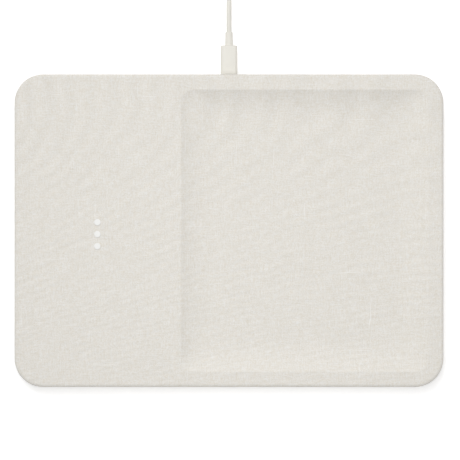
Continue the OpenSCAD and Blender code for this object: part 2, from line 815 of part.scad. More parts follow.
module cord_lead() { color(cable_cream) at_rear() tube(lead_route, cord_d / 2); }
module cord_tail() { color(cable_cream) at_rear() tube(tail_route, cord_d / 2); }
module at_cord_coil() { at_rear() translate([coil_wind_r, cord_entry[1], tie_t]) children(); }
module cord_coil() {
    color(cable_cream) at_cord_coil() rotate_extrude()
        translate([coil_in_r, 0]) square([coil_out_r - coil_in_r, coil_h]);
}
module coil_tie() {
    hole_x0 = coil_in_r - tie_reach;
    hole_w = coil_out_r + tie_play - hole_x0;
    hole_h = coil_h + tie_play;
    color(dark_plastic) at_cord_coil() translate([hole_x0, -tie_w / 2, 0]) difference() {
        translate([-tie_t, 0, -tie_t]) cube([hole_w + 2 * tie_t, tie_w, hole_h + 2 * tie_t]);
        translate([0, -cut, 0]) cube([hole_w, tie_w + 2 * cut, hole_h]);
    }
}

linen_cover();
top_shell();
base_plate();
non_slip_mat();
mat_tape();
for (i = [0:2]) charge_dot(i);
port_bezel();
transmitter_coil();
coil_adhesive_pad();
ferrite_shield();
coil_carrier();
coil_leads();
coil_thermistor();
thermistor_lead();
ballast_plate();
ballast_tape();
control_board();
controller_chip();
bridge_transistors();
resonant_capacitors();
input_capacitors();
power_inductor();
chip_passives();
usb_socket_shell();
usb_socket_tongue();
usb_socket_contacts();
base_screws();
carrier_screws();
board_screws();
at_near_plug() shell_piece();  // plug_shell
at_near_plug() insert_piece();  // plug_insert
at_near_plug() contacts_piece();  // plug_contacts
at_near_plug() overmould_piece();  // plug_overmould
at_near_plug() relief_piece();  // plug_strain_relief
cord_lead();
cord_coil();
cord_tail();
coil_tie();
at_far_plug() shell_piece();  // far_plug_shell
at_far_plug() insert_piece();  // far_plug_insert
at_far_plug() contacts_piece();  // far_plug_contacts
at_far_plug() overmould_piece();  // far_plug_overmould
at_far_plug() relief_piece();  // far_plug_strain_relief
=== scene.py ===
import json
import math

import bmesh
import bpy
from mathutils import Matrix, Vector

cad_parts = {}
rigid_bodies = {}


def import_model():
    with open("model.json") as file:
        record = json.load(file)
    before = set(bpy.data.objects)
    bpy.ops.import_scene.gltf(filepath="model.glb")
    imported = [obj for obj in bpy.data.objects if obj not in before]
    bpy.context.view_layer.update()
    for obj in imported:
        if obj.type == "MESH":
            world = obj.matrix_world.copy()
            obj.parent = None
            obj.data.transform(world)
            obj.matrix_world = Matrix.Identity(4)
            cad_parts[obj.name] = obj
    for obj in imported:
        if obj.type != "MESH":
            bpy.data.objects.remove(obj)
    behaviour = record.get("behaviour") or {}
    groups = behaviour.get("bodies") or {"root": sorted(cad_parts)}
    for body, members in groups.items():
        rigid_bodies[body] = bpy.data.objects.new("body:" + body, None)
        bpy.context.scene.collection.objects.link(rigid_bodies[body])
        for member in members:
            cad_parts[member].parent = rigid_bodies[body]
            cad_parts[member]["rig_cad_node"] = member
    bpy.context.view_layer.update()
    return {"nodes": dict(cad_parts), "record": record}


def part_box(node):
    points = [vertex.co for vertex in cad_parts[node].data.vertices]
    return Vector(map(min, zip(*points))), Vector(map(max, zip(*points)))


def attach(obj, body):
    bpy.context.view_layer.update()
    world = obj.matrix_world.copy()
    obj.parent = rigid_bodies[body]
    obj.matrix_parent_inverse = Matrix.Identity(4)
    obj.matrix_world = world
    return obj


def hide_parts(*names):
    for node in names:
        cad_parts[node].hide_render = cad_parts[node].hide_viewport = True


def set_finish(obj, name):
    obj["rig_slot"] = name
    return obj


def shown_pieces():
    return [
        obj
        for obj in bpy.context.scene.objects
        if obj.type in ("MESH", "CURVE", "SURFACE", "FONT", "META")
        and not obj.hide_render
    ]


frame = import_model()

SLOT_COLOUR = {m["slot"]: m["base_color"] for m in frame["record"]["materials"]}
MM = 0.001

# ---- sizes, in millimetres, that the frame's boxes don't give ----
CORNER_R = 16            # corners of the pad, seen from above
EDGE_R = 1.8             # rounding of the pad's top edge
CHARGE_ZONE_W = 92.9     # from the pad's left side to the tray
RIM_W = 8.4              # from the tray to the pad's other three sides
TRAY_DEPTH = 5
TRAY_CORNER_R = 7        # corners of the tray at its rim
FLOOR_CORNER_R = 12      # corners of the tray at its floor
SCOOP_W = 18.5           # width of the wall that slopes to the tray's floor
LIP_R = 1
LINEN_T = 0.7
HEM_IN = 3.9             # from the pad's outline to the inner face of the turned-up hem
HEM_TOP = 5
DOT_D = 3.7
DOT_PROUD = 0.5
DOT_STEM_D = 2
CORD_D = 2.8
OVERMOULD_R = 1.9        # rounding of the overmould's long edges
RELIEF_TAPER = 0.15

# ---- heights and places that come from the frame, in millimetres ----


def box_mm(node):
    """The lowest and highest corner of a CAD node, in millimetres."""
    low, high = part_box(node)
    return low / MM, high / MM


PAD_LOW, PAD_HIGH = box_mm("linen_cover")
PAD_HALF_W, PAD_HALF_D = PAD_HIGH.x, PAD_HIGH.y
PAD_TOP, PAD_UNDER = PAD_HIGH.z, PAD_LOW.z
FLOOR_Z = PAD_TOP - TRAY_DEPTH
TRAY_LEFT, TRAY_RIGHT = CHARGE_ZONE_W - PAD_HALF_W, PAD_HALF_W - RIM_W
TRAY_X = (TRAY_LEFT + TRAY_RIGHT) / 2
TRAY_HALF_W, TRAY_HALF_D = (TRAY_RIGHT - TRAY_LEFT) / 2, PAD_HALF_D - RIM_W
SCOOP_ANGLE = 2 * math.atan(TRAY_DEPTH / SCOOP_W)
SCOOP_R = SCOOP_W / math.sin(SCOOP_ANGLE) - LIP_R

# ---- camera: straight above the pad ----
CAMERA_DISTANCE = 1200   # above the pad's top
CAMERA_AIM = (0.56, 0.39)    # the point it looks at, from the pad's middle
FRAME_W = 257            # width of the view at the pad's top
SENSOR_W = 36
CLIP_END = 100           # metres


def make_camera():
    camera = bpy.data.objects.new("camera", bpy.data.cameras.new("camera"))
    bpy.context.scene.collection.objects.link(camera)
    camera.data.sensor_width = SENSOR_W
    camera.data.lens = SENSOR_W * CAMERA_DISTANCE / FRAME_W
    camera.data.clip_end = CLIP_END
    camera.location = Vector((*CAMERA_AIM, PAD_TOP + CAMERA_DISTANCE)) * MM
    bpy.context.scene.camera = camera


make_camera()

# ---- cord: out of the plug, down to the table, into its coil and out to the far plug ----
LEAD_ROUTE = [
    (0, 24.2, 6.1), (0, 29, 6.1), (0, 34, 5.2), (0, 39, 3.5), (0, 44, 2),
    (0, 49, 1.5), (0, 55, 1.5), (0, 61, 1.6), (0, 67, 2), (0, 72.5, 2),
]
TAIL_ROUTE = [
    (0, 72.5, 10.4), (0, 78, 10.4), (0, 84, 10), (1.8, 93.2, 8.2), (7, 101, 5.6),
    (14.8, 106.2, 3.1), (21, 107.8, 1.8), (26.5, 108, 1.5), (32, 108, 2.1), (36, 108, 2.7),
    (38, 108, 2.7),
]
COIL_MEAN_R = 16.8
COIL_COLUMNS = 4
COIL_ROWS = 4
COIL_TURNS = COIL_COLUMNS * COIL_ROWS - 1    # it leaves the coil where a last turn would begin
COIL_STEP = 15           # degrees between two points of a turn
MOVE_FROM = 225          # where in each turn the cord starts to move over, or up a layer
MOVE_TO = 315
CLIMB_BULGE = 0.58       # how far it stands out where it climbs, in diameters
TUCKED_IN = 3            # length of cord inside the moulded strain relief
SECTION_STEPS = 4        # how finely the cord's section is rounded
STRETCH_STEPS = 5        # how finely each stretch between two points is divided


def eased(t):
    return t * t * (3 - 2 * t)


def coil_radius(column):
    """The radius of a turn: the columns count inward from the outermost."""
    return COIL_MEAN_R + ((COIL_COLUMNS - 1) / 2 - column) * CORD_D


def lap_place(lap):
    """The column and the layer of a lap: in, up a layer, out again, and so on."""
    row, place = divmod(lap, COIL_COLUMNS)
    return (place if row % 2 == 0 else COIL_COLUMNS - 1 - place), row


def coil_points(centre, low_z):
    """The turns of the coil, clockwise from above, layer on layer, from its leftmost point."""
    points = []
    for step in range(COIL_STEP, 360 * COIL_TURNS, COIL_STEP):
        lap, angle = divmod(step, 360)
        moved = min(1, max(0, (angle - MOVE_FROM) / (MOVE_TO - MOVE_FROM)))
        column, row = lap_place(lap)
        next_column, next_row = lap_place(lap + 1)
        if next_row > row:
            outward = -1 if column == 0 else 1
            column += outward * CLIMB_BULGE * math.sin(math.pi * moved)
        else:
            column += (next_column - column) * eased(moved)
        r = coil_radius(column)
        heading = math.radians(180 - angle)
        points.append((
            centre[0] + r * math.cos(heading),
            centre[1] + r * math.sin(heading),
            low_z + (row + (next_row - row) * eased(moved)) * CORD_D,
        ))
    return points


def cord_points():
    entry, leaving = Vector(LEAD_ROUTE[-1]), Vector(TAIL_ROUTE[0])
    centre = (entry.x + coil_radius(0), entry.y)
    start = (LEAD_ROUTE[0][0], LEAD_ROUTE[0][1] - TUCKED_IN, LEAD_ROUTE[0][2])
    local = [start] + LEAD_ROUTE + coil_points(centre, entry.z) + [tuple(leaving)] + TAIL_ROUTE[1:]
    return [Vector((x, y + PAD_HALF_D, z)) * MM for x, y, z in local]


def make_cord():
    curve = bpy.data.curves.new("charging_cord", "CURVE")
    curve.dimensions = "3D"
    curve.bevel_depth = 1                    # so that each point's radius is the cord's own
    curve.bevel_resolution = SECTION_STEPS
    curve.resolution_u = STRETCH_STEPS
    curve.use_fill_caps = True
    points = cord_points()
    spline = curve.splines.new("BEZIER")
    spline.bezier_points.add(len(points) - 1)
    for knot, place in zip(spline.bezier_points, points):
        knot.co = place
        knot.radius = CORD_D / 2 * MM
        knot.handle_left_type = knot.handle_right_type = "AUTO"
    cord = bpy.data.objects.new("charging_cord", curve)
    bpy.context.scene.collection.objects.link(cord)
    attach(cord, "cable")
    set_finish(cord, "cable_cream")
    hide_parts("cord_lead", "cord_coil", "cord_tail")
    return cord


cord = make_cord()

# ---- building meshes from rings of points ----
SHARP_ANGLE = math.radians(40)
MERGE_WITHIN = 1e-6      # metres
NO_LENGTH = 1e-7         # metres


def rounded_outline(half_w, half_d, radii, corner_steps, side_steps):
    """Points round a rounded rectangle, anticlockwise: each corner's arc, then the side that follows it.
    radii is one radius, or four, from the corner at +X and +Y on."""
    if not isinstance(radii, tuple):
        radii = (radii,) * 4
    arcs = []
    for quarter, ((right, up), r) in enumerate(zip([(1, 1), (-1, 1), (-1, -1), (1, -1)], radii)):
        x, y = right * (half_w - r), up * (half_d - r)
        angles = [math.radians(90 * (quarter + s / corner_steps)) for s in range(corner_steps + 1)]
        arcs.append([Vector((x + r * math.cos(a), y + r * math.sin(a))) for a in angles])
    points = []
    for quarter, arc in enumerate(arcs):
        points += arc
        following = arcs[(quarter + 1) % 4][0]
        points += [arc[-1].lerp(following, s / side_steps) for s in range(1, side_steps)]
    return points


def ring_mesh(name, rings, flat_rings=None):
    """A smooth surface through rings of points, in millimetres, closed at an end whose ring has shrunk.
    flat_rings gives each point's place on the cloth before it was shaped, for the UV map named cloth."""
    mesh = bpy.data.meshes.new(name)
    builder = bmesh.new()
    cloth = builder.loops.layers.uv.new("cloth") if flat_rings else None
    grid = [[builder.verts.new(Vector(p) * MM) for p in ring] for ring in rings]
    count = len(rings[0])
    for k in range(len(rings) - 1):
        for i in range(count):
            j = (i + 1) % count
            face = builder.faces.new((grid[k][i], grid[k][j], grid[k + 1][j], grid[k + 1][i]))
            if cloth:
                for loop, (row, place) in zip(face.loops, ((k, i), (k, j), (k + 1, j), (k + 1, i))):
                    loop[cloth].uv = flat_rings[row][place] * MM
    bmesh.ops.remove_doubles(builder, verts=builder.verts, dist=MERGE_WITHIN)
    bmesh.ops.dissolve_degenerate(builder, dist=NO_LENGTH, edges=builder.edges)
    builder.to_mesh(mesh)
    builder.free()
    return mesh


def closed(rings):
    """The same rings with a point at each end, so that the surface is closed."""
    ends = []
    for ring in (rings[0], rings[-1]):
        middle = sum((Vector(p) for p in ring), Vector()) / len(ring)
        ends.append([middle] * len(ring))
    return [ends[0]] + rings + [ends[1]]


def smooth(mesh):
    mesh.shade_smooth()
    mesh.set_sharp_from_angle(angle=SHARP_ANGLE)


def face_outward(mesh):
    """Turns every face of a closed mesh outward."""
    builder = bmesh.new()
    builder.from_mesh(mesh)
    bmesh.ops.recalc_face_normals(builder, faces=builder.faces)
    builder.to_mesh(mesh)
    builder.free()


def piece(name, mesh, body, slot, *stands_for):
    """A new object from a closed mesh, with its CAD body, its finish and the nodes that it stands for."""
    face_outward(mesh)
    smooth(mesh)
    made = bpy.data.objects.new(name, mesh)
    bpy.context.scene.collection.objects.link(made)
    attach(made, body)
    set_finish(made, slot)
    if stands_for:
        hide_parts(*stands_for)
    return made


def applied(made):
    """Turns an object's modifiers into its mesh."""
    evaluated = made.evaluated_get(bpy.context.evaluated_depsgraph_get())
    mesh = bpy.data.meshes.new_from_object(evaluated)
    made.modifiers.clear()
    made.data = mesh


def arc(centre, r, start, end, steps):
    """Points of an arc in a plane, from one angle to another in degrees."""
    angles = [math.radians(start + (end - start) * s / steps) for s in range(steps + 1)]
    return [(centre[0] + r * math.cos(a), centre[1] + r * math.sin(a)) for a in angles]


def lathe(profile, segments, place):
    """Rings of a turned shape: profile holds (radius, height), and place puts a local point in the frame."""
    turn = [math.radians(360 * s / segments) for s in range(segments)]
    return [[place((r * math.cos(a), r * math.sin(a), h)) for a in turn] for r, h in profile]


# ---- linen cover: hem, fold, sides, top and tray in one cloth ----
CORNER_STEPS = 12
SIDE_STEPS = 26
TOP_STEPS = 20
WALL_STEPS = 14
LIP_STEPS = 5
FLOOR_STEPS = 14
HEM_STEPS = 3
HEM_TURN_STEPS = 5
FOLD_STEPS = 6
UPRIGHT_STEPS = 6        # up the straight part of the pad's side
EDGE_STEPS = 8
FOLD_R = 1.2             # outer radius of the fold under the pad's lower edge
HEM_R = 0.9              # outer radius of the hem's turn


def skirt_profile():
    """The linen's outer face from the hem's top to the pad's level top, as (distance in, height)."""
    hem_centre = (HEM_IN - HEM_R, PAD_UNDER + HEM_R)
    fold_centre = (FOLD_R, PAD_UNDER + FOLD_R)
    edge_centre = (EDGE_R, PAD_TOP - EDGE_R)
    hem = [(HEM_IN, HEM_TOP + (hem_centre[1] - HEM_TOP) * s / HEM_STEPS) for s in range(HEM_STEPS)]
    hem += arc(hem_centre, HEM_R, 0, -90, HEM_TURN_STEPS)
    fold = arc(fold_centre, FOLD_R, 270, 180, FOLD_STEPS)
    side = [(0, fold_centre[1] + (edge_centre[1] - fold_centre[1]) * s / UPRIGHT_STEPS)
            for s in range(1, UPRIGHT_STEPS)]
    return hem + fold + side + arc(edge_centre, EDGE_R, 180, 90, EDGE_STEPS)


def tray_profile():
    """The tray's wall from its rim to its floor, as (distance in, height)."""
    lip = [(LIP_R * math.sin(SCOOP_ANGLE * s / LIP_STEPS),
            PAD_TOP - LIP_R + LIP_R * math.cos(SCOOP_ANGLE * s / LIP_STEPS))
           for s in range(1, LIP_STEPS + 1)]
    scoop = [(SCOOP_W - SCOOP_R * math.sin(SCOOP_ANGLE * (1 - s / WALL_STEPS)),
              FLOOR_Z + SCOOP_R * (1 - math.cos(SCOOP_ANGLE * (1 - s / WALL_STEPS))))
             for s in range(1, WALL_STEPS + 1)]
    return lip + scoop


def pad_ring(inset, z):
    outline = rounded_outline(PAD_HALF_W - inset, PAD_HALF_D - inset, CORNER_R - inset,
                              CORNER_STEPS, SIDE_STEPS)
    return [Vector((p.x, p.y, z)) for p in outline]


def tray_ring(inset, z):
    if inset <= SCOOP_W:
        r = TRAY_CORNER_R + (FLOOR_CORNER_R - TRAY_CORNER_R) * inset / SCOOP_W
    else:
        r = FLOOR_CORNER_R * (TRAY_HALF_W - inset) / (TRAY_HALF_W - SCOOP_W)
    outline = rounded_outline(TRAY_HALF_W - inset, TRAY_HALF_D - inset, r, CORNER_STEPS, SIDE_STEPS)
    return [Vector((TRAY_X + p.x, p.y, z)) for p in outline]


def skirt_on_cloth(profile):
    """Where the skirt's rings lie on the flat cloth: as far past the level top as the cloth is long."""
    edge = pad_ring(EDGE_R, PAD_TOP)
    out = [(a - b).normalized() for a, b in zip(pad_ring(0, PAD_TOP), edge)]
    lengths = [0]
    for a, b in zip(profile[::-1], profile[-2::-1]):
        lengths.append(lengths[-1] + math.dist(a, b))
    return [[(p + d * length).xy for p, d in zip(edge, out)] for length in lengths[::-1]]


def linen_rings():
    profile = skirt_profile()
    rings = [pad_ring(inset, z) for inset, z in profile]
    flat = skirt_on_cloth(profile)
    rim = tray_ring(0, PAD_TOP)
    inner = [[a.lerp(b, s / TOP_STEPS) for a, b in zip(rings[-1], rim)]
             for s in range(1, TOP_STEPS + 1)]
    inner += [tray_ring(inset, z) for inset, z in tray_profile()]
    inner += [tray_ring(SCOOP_W + (TRAY_HALF_W - SCOOP_W) * s / FLOOR_STEPS, FLOOR_Z)
              for s in range(1, FLOOR_STEPS + 1)]
    return rings + inner, flat + [[p.xy for p in ring] for ring in inner]


PORT_PLAY = 0.05         # between the linen and what stands in its openings
PORT_R = 1.4             # corners of the bezel's lip
PORT_CORNER_STEPS = 6
PORT_SIDE_STEPS = 2
STEM_SEGMENTS = 24
CUT = 1                  # how far a cutter runs past what it cuts


def dot_centres():
    """The middle of each dot, at the level of the pad's top, with the CAD node it is."""
    for name in ("front", "middle", "rear"):
        low, high = box_mm("charge_dot_" + name)
        yield name, Vector(((low.x + high.x) / 2, (low.y + high.y) / 2, PAD_TOP))


def linen_cutter():
    """The port's window and the holes for the dots' stems, as one mesh."""
    low, high = box_mm("port_bezel")
    middle, half = (low + high) / 2, (high - low) / 2
    outline = rounded_outline(half.x + PORT_PLAY, half.z + PORT_PLAY, PORT_R,
                              PORT_CORNER_STEPS, PORT_SIDE_STEPS)
    rings = [[Vector((middle.x + p.x, y, middle.z + p.y)) for p in outline]
             for y in (PAD_HALF_D - HEM_IN - CUT, PAD_HALF_D + CUT)]
    cutter = ring_mesh("linen_cutter", closed(rings))
    builder = bmesh.new()
    builder.from_mesh(cutter)
    for _, centre in dot_centres():
        hole_r = DOT_STEM_D / 2 + PORT_PLAY
        profile = [(hole_r, -LINEN_T - CUT), (hole_r, CUT)]
        hole = ring_mesh("stem_hole", closed(lathe(profile, STEM_SEGMENTS, lambda p: centre + Vector(p))))
        builder.from_mesh(hole)
        bpy.data.meshes.remove(hole)
    bmesh.ops.recalc_face_normals(builder, faces=builder.faces)
    builder.to_mesh(cutter)
    builder.free()
    return bpy.data.objects.new("linen_cutter", cutter)


def make_linen():
    rings, flat = linen_rings()
    cover = bpy.data.objects.new("linen_cloth", ring_mesh("linen_cloth", rings, flat))
    cutter = linen_cutter()
    for made in (cover, cutter):
        bpy.context.scene.collection.objects.link(made)
    thick = cover.modifiers.new("thickness", "SOLIDIFY")
    thick.thickness = LINEN_T * MM
    thick.offset = -1
    thick.use_even_offset = True
    cutting = cover.modifiers.new("openings", "BOOLEAN")
    cutting.object = cutter
    cutting.solver = "EXACT"
    applied(cover)
    bpy.data.objects.remove(cutter)
    smooth(cover.data)
    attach(cover, "pad")
    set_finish(cover, "linen")
    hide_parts("linen_cover")
    return cover


linen = make_linen()

# ---- non-slip mat: a moulded sheet with grip grooves inside its edge ----
MAT_EDGE_R = 0.5
MAT_EDGE_STEPS = 5
MAT_LEAST_CORNER_R = 0.3
MAT_CORNER_STEPS = 12
MAT_SIDE_STEPS = 8
GROOVES = 5
GROOVE_START = 1.6       # from the mat's edge to the outermost groove
GROOVE_STEP = 3.2
GROOVE_W = 1.4
GROOVE_DEPTH = 0.35
GROOVE_STEPS = 8


def mat_profile(low_z, high_z):
    """The mat's edge and its grooves, as (distance in, height)."""
    edge = arc((0, MAT_EDGE_R), MAT_EDGE_R, 0, -90, MAT_EDGE_STEPS)
    profile = [(0, high_z)] + [(MAT_EDGE_R - r, low_z + h) for r, h in edge]
    for groove in range(GROOVES):
        start = GROOVE_START + groove * GROOVE_STEP
        profile += [(start + GROOVE_W * s / GROOVE_STEPS,
                     low_z + GROOVE_DEPTH * math.sin(math.pi * s / GROOVE_STEPS))
                    for s in range(GROOVE_STEPS + 1)]
    return profile


def make_mat():
    low, high = box_mm("non_slip_mat")
    half_w, half_d, corner = high.x, high.y, CORNER_R - (PAD_HALF_W - high.x)
    rings = []
    for inset, z in mat_profile(low.z, high.z):
        outline = rounded_outline(half_w - inset, half_d - inset, max(corner - inset, MAT_LEAST_CORNER_R),
                                  MAT_CORNER_STEPS, MAT_SIDE_STEPS)
        rings.append([Vector((p.x, p.y, z)) for p in outline])
    mesh = ring_mesh("grip_mat", closed(rings))
    return piece("grip_mat", mesh, "pad", "mat_rubber", "non_slip_mat")


make_mat()

# ---- dots on the charging zone ----
FOOT_H = 0.5
FOOT_R = DOT_STEM_D / 2 + 0.4
RIM_R = DOT_PROUD * 0.45
RIM_TOP = DOT_PROUD * 0.9    # where the rounded rim ends and the crown begins
RIM_STEPS = 5
CROWN_H = DOT_PROUD * 0.1
CROWN_PLACES = (0.85, 0.6, 0.3)
DOT_SEGMENTS = 40
NEAR_AXIS = 0.01         # radius of the last ring before a turned shape is closed
ARC_END = 80             # degrees: where a rounded rim stops short of level


def make_dot(name, centre):
    """A soft dot with a rounded rim, a stem through the shell and a spread foot that holds it."""
    ceiling = box_mm("charge_dot_" + name)[0].z + FOOT_H - PAD_TOP
    foot = [(NEAR_AXIS, ceiling - FOOT_H), (FOOT_R, ceiling - FOOT_H), (FOOT_R, ceiling)]
    stem = [(DOT_STEM_D / 2, ceiling), (DOT_STEM_D / 2, 0)]
    head = arc((DOT_D / 2 - RIM_R, RIM_TOP - RIM_R), RIM_R, 0, ARC_END, RIM_STEPS)
    crown = [(head[-1][0] * t, DOT_PROUD - CROWN_H * t * t) for t in CROWN_PLACES]
    profile = foot + stem + [(DOT_D / 2, 0)] + head + crown + [(NEAR_AXIS, DOT_PROUD)]
    rings = lathe(profile, DOT_SEGMENTS, lambda p: centre + Vector(p))
    return piece("dot_" + name, ring_mesh("dot_" + name, closed(rings)), "pad", "dot_white",
                 "charge_dot_" + name)


for dot_name, dot_centre in dot_centres():
    make_dot(dot_name, dot_centre)

# ---- plugs: each made along +Y from its shell's root, then put where its CAD nodes are ----
PLUG_CORNER_STEPS = 8
PLUG_SIDE_STEPS = 3
OVERMOULD_END_R = 0.5
OVERMOULD_END_STEPS = 4
END_NARROWING = 0.6      # how much of an end's inset its long edges' rounding loses
RELIEF_TIP_R = 0.3
RELIEF_TIP_STEPS = 5
RELIEF_ROOT = 0.3        # how far the relief reaches into the overmould
RELIEF_STRAIGHT = 0.2    # length of its straight start
RELIEF_SEGMENTS = 40
SHELL_WALL = 0.25
SHELL_LIP_R = 0.12
SHELL_LIP_STEPS = 6
SHELL_ROOT = 1.5         # how far the shell reaches into the overmould
OVAL_PLAY = 0.001        # keeps a straight piece in an oval's ends


def plug_places():
    """For each plug: its pieces' prefix in the CAD model, and where a local point goes."""
    near = box_mm("plug_overmould")
    far = box_mm("far_plug_overmould")
    near_start = Vector(((near[0].x + near[1].x) / 2, near[0].y, (near[0].z + near[1].z) / 2))
    far_start = Vector((far[1].x, (far[0].y + far[1].y) / 2, (far[0].z + far[1].z) / 2))
    yield "", lambda p: near_start + Vector(p)
    yield "far_", lambda p: far_start + Vector((-p[1], p[0], p[2]))


def size_of(node):
    low, high = box_mm(node)
    return high - low


def overmould_rings(place):
    """A bar with rounded long edges and a soft edge at each end."""
    size = size_of("plug_overmould")
    length, half_w, half_h = size.y, size.x / 2, size.z / 2
    end_arc = arc((0, OVERMOULD_END_R), OVERMOULD_END_R, 270, 360, OVERMOULD_END_STEPS)
    ends = [(y, OVERMOULD_END_R - d) for d, y in end_arc]
    sections = ends + [(length / 2, 0)] + [(length - y, inset) for y, inset in ends[::-1]]
    rings = []
    for y, inset in sections:
        outline = rounded_outline(half_w - inset, half_h - inset, OVERMOULD_R - inset * END_NARROWING,
                                  PLUG_CORNER_STEPS, PLUG_SIDE_STEPS)
        rings.append([place((p.x, y, p.y)) for p in outline])
    return rings


def relief_rings(place):
    """A sleeve that tapers to a rounded tip."""
    start = size_of("plug_overmould").y
    size = size_of("plug_strain_relief")
    length, r = size.y, size.x / 2
    tip = [(r - RELIEF_TAPER - RELIEF_TIP_R + x, length - RELIEF_TIP_R + y)
           for x, y in arc((0, 0), RELIEF_TIP_R, 0, ARC_END, RELIEF_TIP_STEPS)]
    profile = [(r, -RELIEF_ROOT), (r, 0), (r, RELIEF_STRAIGHT)] + tip
    return lathe(profile, RELIEF_SEGMENTS, lambda p: place((p[0], start + p[2], -p[1])))


def oval_outline(w, h):
    return rounded_outline(w / 2, h / 2, h / 2 - OVAL_PLAY, PLUG_CORNER_STEPS, PLUG_SIDE_STEPS)


def shell_rings(place):
    """The drawn metal shell: an oval tube whose mouth is rolled over, closed on itself."""
    size = size_of("plug_shell")
    tip = SHELL_ROOT - size.y
    outer = [(SHELL_ROOT, 0), (tip + SHELL_LIP_R, 0)]
    lip_arc = arc((SHELL_LIP_R, tip + SHELL_LIP_R), SHELL_LIP_R, 180, 360, SHELL_LIP_STEPS)
    rolled = [(y, inset) for inset, y in lip_arc]
    path = outer + rolled + [(SHELL_ROOT, SHELL_WALL), (SHELL_ROOT, 0)]
    rings = []
    for y, inset in path:
        outline = oval_outline(size.x - 2 * inset, size.z - 2 * inset)
        rings.append([place((p.x, y, p.y)) for p in outline])
    return rings


plug_pieces = []
for prefix, plug_place in plug_places():
    for part, rings_of, ends, slot_name in (
        ("overmould", overmould_rings, closed, "cable_cream"),
        ("strain_relief", relief_rings, closed, "cable_cream"),
        ("shell", shell_rings, list, "plug_steel"),
    ):
        mesh = ring_mesh(f"{prefix}moulded_{part}", ends(rings_of(plug_place)))
        plug_pieces.append(piece(mesh.name, mesh, "cable", slot_name, f"{prefix}plug_{part}"))
    plug_pieces += [frame["nodes"][f"{prefix}plug_{part}"] for part in ("insert", "contacts")]

# ---- strap round the coil ----
STRAP_T = 0.6
STRAP_CORNER_R = 1.6
STRAP_SLOPE_R = 4.8      # where the coil's top layer lacks its outermost turn
STRAP_CORNERS = (STRAP_SLOPE_R, STRAP_CORNER_R, STRAP_CORNER_R, STRAP_CORNER_R)
STRAP_EDGE = 0.12        # chamfer of the strap's long edges
STRAP_CORNER_STEPS = 6
STRAP_SIDE_STEPS = 10
STRAP_END = 0.55         # how much of the strap's top its loose end covers
STRAP_END_NARROWER = 0.25
STRAP_END_CORNER_R = 1.8
STRAP_END_STEPS = 6
STRAP_END_PROFILE = [(0, -0.1), (0, 0.35), (0.05, 0.45), (0.15, 0.5)]    # (distance in, height)


def strap_end(low, high):
    """The strap's loose end, pressed down on the strap's own top, with rounded corners and edges."""
    half_x = (high.x - low.x) / 2 * STRAP_END
    half_w = (high.y - low.y) / 2 - STRAP_END_NARROWER
    centre = Vector((low.x + STRAP_CORNER_R + half_x, (low.y + high.y) / 2, high.z))
    rings = []
    for inset, z in STRAP_END_PROFILE:
        outline = rounded_outline(half_x - inset, half_w - inset, STRAP_END_CORNER_R - inset,
                                  STRAP_END_STEPS, STRAP_END_STEPS)
        rings.append([centre + Vector((p.x, p.y, z)) for p in outline])
    return closed(rings)


def strap_rings(low, high):
    """The loop round the bundle: its outside from edge to edge, then its inside, closed on itself."""
    centre, half = (low + high) / 2, (high - low) / 2
    rings = []
    for y, inset in [(-half.y, STRAP_EDGE), (-half.y + STRAP_EDGE, 0), (half.y - STRAP_EDGE, 0),
                     (half.y, STRAP_EDGE), (half.y, STRAP_T), (-half.y, STRAP_T)]:
        outline = rounded_outline(half.x - inset, half.z - inset, tuple(r - inset for r in STRAP_CORNERS),
                                  STRAP_CORNER_STEPS, STRAP_SIDE_STEPS)
        rings.append([Vector((centre.x + p.x, centre.y + y, centre.z + p.y)) for p in outline])
    return rings + [rings[0]]


def make_strap():
    """A hook-and-loop strap: once round the bundle, with its end pressed down on its own top."""
    low, high = box_mm("coil_tie")
    loop = ring_mesh("coil_strap", strap_rings(low, high))
    end = ring_mesh("strap_end", strap_end(low, high))
    builder = bmesh.new()
    builder.from_mesh(loop)
    builder.from_mesh(end)
    builder.to_mesh(loop)
    builder.free()
    bpy.data.meshes.remove(end)
    return loop


strap = piece("coil_strap", make_strap(), "cable", "tie_strap", "coil_tie")

# ---- materials ----
MOST = (0.35, 0.65)          # where most of a noise's values lie
NEARLY_ALL = (0.3, 0.7)


